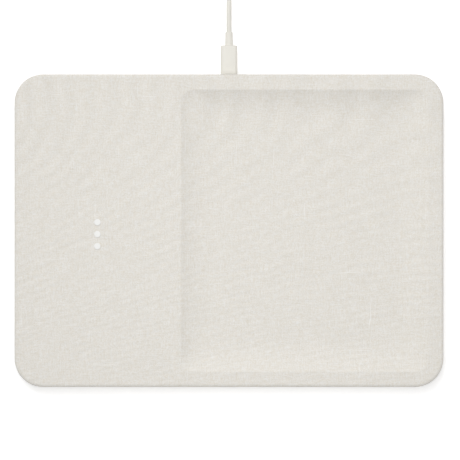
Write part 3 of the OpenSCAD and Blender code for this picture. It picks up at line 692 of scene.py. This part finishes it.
class Finish:
    """A material under construction: one Principled shader and the procedural nodes that feed it.
    Places are in millimetres, so a noise of scale 1 has features of about a millimetre."""

    def __init__(self, name, roughness=0.5, **fixed):
        self.material = bpy.data.materials.new(name)
        self.material.use_nodes = True
        self.tree = self.material.node_tree
        self.shader = self.tree.nodes["Principled BSDF"]
        self.shader.inputs["Roughness"].default_value = roughness
        for socket, value in fixed.items():
            self.shader.inputs[socket.replace("_", " ")].default_value = value
        place = self.add("TexCoord").outputs["Object"]
        self.place = self.vector("SCALE", place, scale=1 / MM)

    def add(self, kind, **settings):
        node = self.tree.nodes.new("ShaderNode" + kind)
        for name, value in settings.items():
            setattr(node, name, value)
        return node

    def feed(self, socket, value):
        if isinstance(value, bpy.types.NodeSocket):
            self.tree.links.new(value, socket)
        else:
            socket.default_value = value

    def vector(self, operation, a, b=None, scale=None):
        node = self.add("VectorMath", operation=operation)
        self.feed(node.inputs[0], a)
        if b is not None:
            self.feed(node.inputs[1], b)
        if scale is not None:
            self.feed(node.inputs["Scale"], scale)
        return node.outputs[0]

    def math(self, operation, a, b=0.0, c=0.0):
        node = self.add("Math", operation=operation)
        for socket, value in zip(node.inputs, (a, b, c)):
            self.feed(socket, value)
        return node.outputs[0]

    def split(self, vector):
        node = self.add("SeparateXYZ")
        self.feed(node.inputs[0], vector)
        return node.outputs

    def join(self, x, y, z=0.0):
        node = self.add("CombineXYZ")
        for socket, value in zip(node.inputs, (x, y, z)):
            self.feed(socket, value)
        return node.outputs[0]

    def noise(self, scale, detail=3.0, stretch=None, place=None):
        """Noise from about 0.3 to 0.7, with its features drawn out along the axes whose stretch is small."""
        at = self.place if place is None else place
        if stretch is not None:
            at = self.vector("MULTIPLY", at, stretch)
        node = self.add("TexNoise")
        self.feed(node.inputs["Vector"], at)
        node.inputs["Scale"].default_value = scale
        node.inputs["Detail"].default_value = detail
        return node.outputs[0]

    def cells(self, scale, feature="F1"):
        """The distance to the middle or the edge of a random cell."""
        node = self.add("TexVoronoi", feature=feature)
        self.feed(node.inputs["Vector"], self.place)
        node.inputs["Scale"].default_value = scale
        return node.outputs["Distance"]

    def spread(self, value, low, high, to_low=0.0, to_high=1.0):
        """A value stretched from one range to another, held at both ends."""
        node = self.add("MapRange")
        for socket, number in zip(node.inputs, (value, low, high, to_low, to_high)):
            self.feed(socket, number)
        return node.outputs[0]

    def mix(self, share, a, b, blend="MIX"):
        node = self.add("Mix", data_type="RGBA", blend_type=blend)
        self.feed(node.inputs[0], share)
        self.feed(node.inputs[6], a)
        self.feed(node.inputs[7], b)
        return node.outputs[2]

    def colour(self, value):
        self.feed(self.shader.inputs["Base Color"], value)

    def roughness(self, value):
        self.feed(self.shader.inputs["Roughness"], value)

    def bump(self, height, depth):
        """Relief whose full height is depth millimetres."""
        node = self.add("Bump")
        self.feed(node.inputs["Height"], height)
        node.inputs["Distance"].default_value = depth * MM
        self.feed(self.shader.inputs["Normal"], node.outputs[0])


def tone(colour, factor):
    return tuple(min(1.0, c * factor) for c in colour[:3]) + (1.0,)


def moulded(name, grain, depth, shade=0.04, roughness=(0.45, 0.6), level=1.0, **fixed):
    """Moulded plastic or rubber: a fine eroded grain, uneven gloss and a faint drift of tone."""
    finish = Finish(name, **fixed)
    drift = finish.spread(finish.noise(0.06, 2.0), *MOST)
    base = [c * level for c in SLOT_COLOUR[name]]
    finish.colour(finish.mix(drift, tone(base, 1 - shade), tone(base, 1 + shade)))
    fine = finish.noise(grain, 2.0)
    finish.roughness(finish.spread(fine, *NEARLY_ALL, *roughness))
    finish.bump(fine, depth)
    return finish.material


def metal(name, stretch, roughness, grain=3.0, depth=0.004):
    """Plated or rolled metal: fine streaks in one direction and patches of duller plating."""
    finish = Finish(name, Metallic=1.0)
    streak = finish.noise(grain, 4.0, stretch)
    patch = finish.spread(finish.noise(0.25, 3.0), *MOST)
    base = SLOT_COLOUR[name]
    finish.colour(finish.mix(patch, tone(base, 0.93), tone(base, 1.05)))
    finish.roughness(finish.spread(streak, *NEARLY_ALL, *roughness))
    finish.bump(streak, depth)
    return finish.material


THREAD_PITCH = 0.52      # between neighbouring threads of the linen
THREAD_WANDER = 2.4      # how far the threads stray
WANDER_SCALE = 0.07
SLUB_LENGTH = 6          # along a thread, between its thicker places
SLUB_SHARE = 0.8         # how much of the fibre's tone comes from both threads' slubs
TOP_SHARE = 0.2          # and how much from the upper thread's alone
SLUB_RELIEF = 2.0
FIBRE_TONE = (0.28, 0.72, 0.16, 0.84)    # from a range of noise to a share of the pale tone
CROSSING_TONE = 0.23     # how much a crossing's own tone adds or takes
LONG_THREAD = (1.6, 0.035)               # noise scale across and along the palest threads
PALE_THREAD = (0.70, 0.78, 0.0, 0.5)
WEAVE_PAINTED_SHADE = (0.0, 1.4, 0.90, 1.0)      # painted shade: from the relief's height to its tone, darker where the weave is low
WEAVE_DEPTH = 0.05
RIPPLE_TONE = 0.018      # how much the ripple's bands lighten and darken it
RIPPLE_REAR = 70.0       # the bands lie down from here to the front
RIPPLE_LEFT = 90.0       # how far to the left of the pad's middle their count starts
RIPPLE_DOWN = (-0.000015, 0.0095)
RIPPLE_ALONG = (-0.00095, 0.56)
RIPPLE_WAVER = 8.0
RIPPLE_STRENGTH = (0.35, 0.62, 0.25, 1.0)
RIPPLE_LAYER = 20.0      # places far apart in one noise, so that its uses don't match
WEFT_LAYER = 40.0
LONG_WARP_LAYER = 90.0
LONG_WEFT_LAYER = 130.0
LINEN_PALE = (0.812, 0.802, 0.779, 1)
LINEN_FLAX = (0.686, 0.643, 0.561, 1)
LINEN_BRIGHT = (0.88, 0.875, 0.86, 1)
LINEN_COOL = (0.993, 1, 1.008, 1)
LINEN_WARM = (1.007, 1, 0.992, 1)


def linen_threads(finish, x, y):
    """The plain weave: its relief, and where a warp thread lies over the weft."""
    cos_x = finish.math("COSINE", finish.math("MULTIPLY", x, math.pi / THREAD_PITCH))
    cos_y = finish.math("COSINE", finish.math("MULTIPLY", y, math.pi / THREAD_PITCH))
    over = finish.math("MULTIPLY", cos_x, cos_y)
    warp = finish.math("MULTIPLY", finish.math("MULTIPLY", cos_x, cos_x), finish.math("ADD", 1.0, over))
    weft = finish.math("MULTIPLY", finish.math("MULTIPLY", cos_y, cos_y), finish.math("SUBTRACT", 1.0, over))
    return finish.math("MAXIMUM", warp, weft), finish.math("GREATER_THAN", warp, weft)


def linen_crossings(finish, x, y):
    """An uneven yarn: every crossing of two threads has a tone of its own."""
    node = finish.add("TexWhiteNoise", noise_dimensions="2D")
    cell = finish.vector("FLOOR", finish.vector("SCALE", finish.join(x, y), scale=1 / THREAD_PITCH))
    finish.feed(node.inputs["Vector"], cell)
    return node.outputs["Value"]


def linen_ripple(finish, x, y):
    """Slow bands of lighter and darker tone: upright at the rear left, lying down towards the front."""
    back = finish.math("MAXIMUM", finish.math("SUBTRACT", RIPPLE_REAR, y), 0.0)
    square = finish.math("MULTIPLY", back, back)
    down = finish.math("MULTIPLY", square, finish.math("MULTIPLY_ADD", back, *RIPPLE_DOWN))
    right = finish.math("ADD", x, RIPPLE_LEFT)
    along = finish.math("MULTIPLY", right, finish.math("MULTIPLY_ADD", right, *RIPPLE_ALONG))
    waver = finish.math("MULTIPLY", finish.noise(0.04, 2.0, None, finish.join(x, y)), RIPPLE_WAVER)
    phase = finish.math("ADD", finish.math("ADD", down, along), waver)
    patches = finish.noise(0.06, 1.0, None, finish.join(x, y, RIPPLE_LAYER))
    strength = finish.spread(patches, *RIPPLE_STRENGTH)
    return finish.math("MULTIPLY", finish.math("SINE", phase), strength)


def linen_place(finish):
    """Where a point lies on the flat cloth, in millimetres, with the threads' wandering."""
    at = finish.vector("SCALE", finish.add("UVMap", uv_map="cloth").outputs[0], scale=1 / MM)
    drift = finish.add("TexNoise", noise_dimensions="2D")
    finish.feed(drift.inputs["Vector"], at)
    drift.inputs["Scale"].default_value = WANDER_SCALE
    centred = finish.vector("SUBTRACT", drift.outputs["Color"], (0.5, 0.5, 0.5))
    wander = finish.vector("SCALE", centred, scale=THREAD_WANDER)
    x, y, _ = finish.split(finish.vector("ADD", at, wander))
    return x, y


def linen():
    finish = Finish("linen", 0.85, Sheen_Weight=0.15, Sheen_Roughness=0.5, Specular_IOR_Level=0.25)
    x, y = linen_place(finish)
    place = finish.join(x, y)

    height, warp_on_top = linen_threads(finish, x, y)
    across, along = 0.9 / THREAD_PITCH, 1 / SLUB_LENGTH
    warp_slub = finish.noise(1.0, 2.0, (across, along, 1), place)
    weft_slub = finish.noise(1.0, 2.0, (along, across, 1), finish.join(x, y, WEFT_LAYER))
    slub = finish.math("MULTIPLY", finish.math("ADD", warp_slub, weft_slub), 0.5)
    top_thread = finish.mix(warp_on_top, weft_slub, warp_slub)
    crossing = linen_crossings(finish, x, y)

    fibre = finish.math("ADD", finish.math("MULTIPLY", slub, SLUB_SHARE),
                        finish.math("MULTIPLY", top_thread, TOP_SHARE))
    share = finish.math("ADD", finish.spread(fibre, *FIBRE_TONE),
                        finish.spread(crossing, 0.0, 1.0, -CROSSING_TONE, CROSSING_TONE))
    cloth = finish.mix(share, LINEN_FLAX, LINEN_PALE)
    warmth = finish.spread(finish.noise(0.45, 2.0, None, place), *NEARLY_ALL)
    cloth = finish.mix(1.0, cloth, finish.mix(warmth, LINEN_COOL, LINEN_WARM), "MULTIPLY")
    thin, long = LONG_THREAD
    long_warp = finish.noise(1.0, 1.0, (thin, long, 1), finish.join(x, y, LONG_WARP_LAYER))
    long_weft = finish.noise(1.0, 1.0, (long, thin, 1), finish.join(x, y, LONG_WEFT_LAYER))
    pale_thread = finish.spread(finish.math("MAXIMUM", long_warp, long_weft), *PALE_THREAD)
    cloth = finish.mix(pale_thread, cloth, LINEN_BRIGHT)

    ripple = finish.math("MULTIPLY", linen_ripple(finish, x, y), RIPPLE_TONE)
    # painted shade: the cloth is darker where the weave's relief is low, and the ripple bands are added to
    # it
    light = finish.math("ADD", finish.spread(height, *WEAVE_PAINTED_SHADE), ripple)
    finish.colour(finish.mix(1.0, cloth, finish.join(light, light, light), "MULTIPLY"))
    finish.bump(finish.math("ADD", height, finish.math("MULTIPLY", slub, SLUB_RELIEF)), WEAVE_DEPTH)
    return finish.material


def mat_rubber():
    finish = Finish("mat_rubber", 0.75)
    base = SLOT_COLOUR["mat_rubber"]
    pebble = finish.cells(1.1)
    wear = finish.spread(finish.noise(0.08), *MOST)
    finish.colour(finish.mix(wear, tone(base, 0.9), tone(base, 1.12)))
    finish.roughness(finish.spread(pebble, 0.0, 0.6, 0.6, 0.85))
    finish.bump(pebble, 0.12)
    return finish.material


def tape():
    finish = Finish("tape", 0.4)
    base = SLOT_COLOUR["tape"]
    foam = finish.noise(2.5, 4.0)
    finish.colour(finish.mix(finish.spread(foam, *MOST), tone(base, 0.9), tone(base, 1.06)))
    finish.roughness(finish.spread(foam, *NEARLY_ALL, 0.3, 0.5))
    finish.bump(foam, 0.01)
    return finish.material


TWISTS_ROUND = 90.0      # bands of the litz wire's twist in one turn
TWIST_SLANT = 14.0       # how much they slant across a turn


def copper_wire():
    """Litz: each turn is a ring about the coil's centre, its strands twisted along it, with painted shade in
    their grooves.
    """
    finish = Finish("copper_wire", 0.35, Metallic=1.0)
    low, high = box_mm("transmitter_coil")
    x, y, _ = finish.split(finish.vector("SUBTRACT", finish.place, tuple((low + high) / 2)))
    r = finish.vector("LENGTH", finish.join(x, y)).node.outputs["Value"]
    angle = finish.math("ARCTAN2", y, x)
    twist = finish.math("SINE", finish.math("ADD", finish.math("MULTIPLY", angle, TWISTS_ROUND),
                                            finish.math("MULTIPLY", r, TWIST_SLANT)))
    base = SLOT_COLOUR["copper_wire"]
    strand_relief_and_shade = finish.spread(twist, -1.0, 1.0)
    patch = finish.spread(finish.noise(0.6), *NEARLY_ALL)
    # painted shade: the copper is darker in the twist's grooves, where the relief is low
    finish.colour(finish.mix(strand_relief_and_shade, tone(base, 0.75), finish.mix(patch, tone(base, 1.0), tone(base, 1.15))))
    finish.bump(strand_relief_and_shade, 0.06)
    return finish.material


def board_green():
    """Solder mask over copper: a grid of tracks that shows as a slightly raised, lighter pattern."""
    finish = Finish("board_green", 0.3, Coat_Weight=0.3, Coat_Roughness=0.15)
    base = SLOT_COLOUR["board_green"]
    track = finish.cells(0.22, feature="DISTANCE_TO_EDGE")
    copper = finish.spread(track, 0.03, 0.06, 1.0, 0.0)
    drift = finish.spread(finish.noise(0.3), *MOST)
    mask = finish.mix(drift, tone(base, 0.85), tone(base, 1.1))
    finish.colour(finish.mix(copper, mask, tone(base, 1.9)))
    finish.roughness(finish.spread(finish.noise(4.0), *NEARLY_ALL, 0.25, 0.4))
    finish.bump(copper, 0.03)
    return finish.material


def tie_strap():
    """Brushed loop fabric: a fuzz of fine loops over a ribbed weave."""
    finish = Finish("tie_strap", 0.9, Sheen_Weight=0.4, Sheen_Roughness=0.4)
    base = SLOT_COLOUR["tie_strap"]
    fuzz = finish.noise(5.0, 5.0)
    loops = finish.cells(3.2)
    finish.colour(finish.mix(finish.spread(fuzz, *MOST), tone(base, 0.78), tone(base, 1.05)))
    finish.bump(finish.math("ADD", fuzz, loops), 0.12)
    return finish.material


def fired(name, speck, low, high, roughness=(0.5, 0.75)):
    """Sintered or cast material: fine light and dark specks."""
    finish = Finish(name)
    base = SLOT_COLOUR[name]
    dots = finish.spread(finish.noise(speck, 5.0), *MOST)
    finish.colour(finish.mix(dots, tone(base, low), tone(base, high)))
    finish.roughness(finish.spread(dots, 0.0, 1.0, *roughness))
    finish.bump(dots, 0.015)
    return finish.material


MAKERS = {
    "linen": linen,
    "mat_rubber": mat_rubber,
    "tape": tape,
    "copper_wire": copper_wire,
    "board_green": board_green,
    "tie_strap": tie_strap,
    "white_plastic": lambda: moulded("white_plastic", grain=5.0, depth=0.012),
    "dark_plastic": lambda: moulded("dark_plastic", grain=4.0, depth=0.02, shade=0.1),
    "dot_white": lambda: moulded(
        "dot_white", grain=6.0, depth=0.006, shade=0.015, roughness=(0.55, 0.65), level=0.87,
        Specular_IOR_Level=0.3),
    "cable_cream": lambda: moulded(
        "cable_cream", grain=6.0, depth=0.01, shade=0.02, roughness=(0.5, 0.62), level=0.90,
        Specular_IOR_Level=0.35),
    "ferrite": lambda: fired("ferrite", speck=3.0, low=0.7, high=1.5),
    "chip_black": lambda: fired("chip_black", speck=6.0, low=0.8, high=1.4, roughness=(0.45, 0.6)),
    "ceramic": lambda: fired("ceramic", speck=5.0, low=0.88, high=1.1, roughness=(0.35, 0.5)),
    "screw_steel": lambda: metal("screw_steel", stretch=(1, 1, 0.2), roughness=(0.25, 0.4)),
    "ballast_steel": lambda: metal("ballast_steel", stretch=(0.06, 1, 1), roughness=(0.3, 0.5)),
    "plug_steel": lambda: metal(
        "plug_steel", stretch=(1, 0.1, 1), roughness=(0.22, 0.34), grain=8.0, depth=0.002),
    "contact_gold": lambda: metal(
        "contact_gold", stretch=(1, 0.2, 1), roughness=(0.18, 0.3), grain=8.0, depth=0.001),
}
MATERIALS = {name: make() for name, make in MAKERS.items()}


def paint():
    """Gives every piece that renders, new or from the CAD model, the material of its slot."""
    slot_of = {part["node"]: part["material_slot"] for part in frame["record"]["subparts"]}
    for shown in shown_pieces():
        slot_name = shown.get("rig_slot") or slot_of[shown["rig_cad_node"]]
        shown.data.materials.clear()
        shown.data.materials.append(MATERIALS[slot_name])


paint()

# ---- floor and light ----
FLOOR_HALF = 15          # metres
FLOOR_CELLS = 8
FLOOR_BELOW = 0.0002     # metres, so that nothing lies in the very plane of the floor
FLOOR_TONE = 0.96
FLOOR_SHADE = 0.005
FLOOR_GLOW = 0.28
SKY = 0.42               # what lights the scene
SKY_SEEN = SKY * FLOOR_TONE + FLOOR_GLOW     # what the camera sees: the tone of the far floor
LAMPS = {                # place in metres, side of the square, power in watts
    "softbox_rear_left": ((-0.52, 1.43, 2.0), 1.4, 25.8),
    "softbox_overhead": ((0.02, 0, 0.5), 0.3, 1.1),
}


def make_floor():
    builder = bmesh.new()
    bmesh.ops.create_grid(builder, x_segments=FLOOR_CELLS, y_segments=FLOOR_CELLS, size=FLOOR_HALF)
    mesh = bpy.data.meshes.new("floor")
    builder.to_mesh(mesh)
    builder.free()
    floor = bpy.data.objects.new("floor", mesh)
    bpy.context.scene.collection.objects.link(floor)
    floor.location.z = -FLOOR_BELOW
    finish = Finish("floor_paint", 0.9, Specular_IOR_Level=0.1)
    paper = finish.spread(finish.noise(0.02, 2.0), *NEARLY_ALL)
    white = (FLOOR_TONE,) * 3
    finish.colour(finish.mix(paper, tone(white, 1 - FLOOR_SHADE), tone(white, 1 + FLOOR_SHADE)))
    finish.shader.inputs["Emission Color"].default_value = (1, 1, 1, 1)
    finish.shader.inputs["Emission Strength"].default_value = FLOOR_GLOW
    mesh.materials.append(finish.material)


def make_lamp(name, place, side, power):
    lamp = bpy.data.lights.new(name, "AREA")
    lamp.shape = "SQUARE"
    lamp.size = side
    lamp.energy = power
    softbox = bpy.data.objects.new(name, lamp)
    bpy.context.scene.collection.objects.link(softbox)
    softbox.location = place
    softbox.rotation_euler = (-Vector(place)).to_track_quat("-Z", "Y").to_euler()
    softbox.visible_camera = False


def make_light():
    for name, (place, side, power) in LAMPS.items():
        make_lamp(name, place, side, power)
    world = bpy.data.worlds.new("studio")
    world.use_nodes = True
    sky = world.node_tree.nodes["Background"]
    sky.inputs["Color"].default_value = (1, 1, 1, 1)
    seen = world.node_tree.nodes.new("ShaderNodeLightPath").outputs["Is Camera Ray"]
    strength = world.node_tree.nodes.new("ShaderNodeMapRange")
    strength.inputs["To Min"].default_value = SKY
    strength.inputs["To Max"].default_value = SKY_SEEN
    world.node_tree.links.new(seen, strength.inputs["Value"])
    world.node_tree.links.new(strength.outputs[0], sky.inputs["Strength"])
    bpy.context.scene.world = world
    bpy.context.scene.view_settings.view_transform = "Standard"


make_floor()
make_light()

bpy.context.view_layer.update()
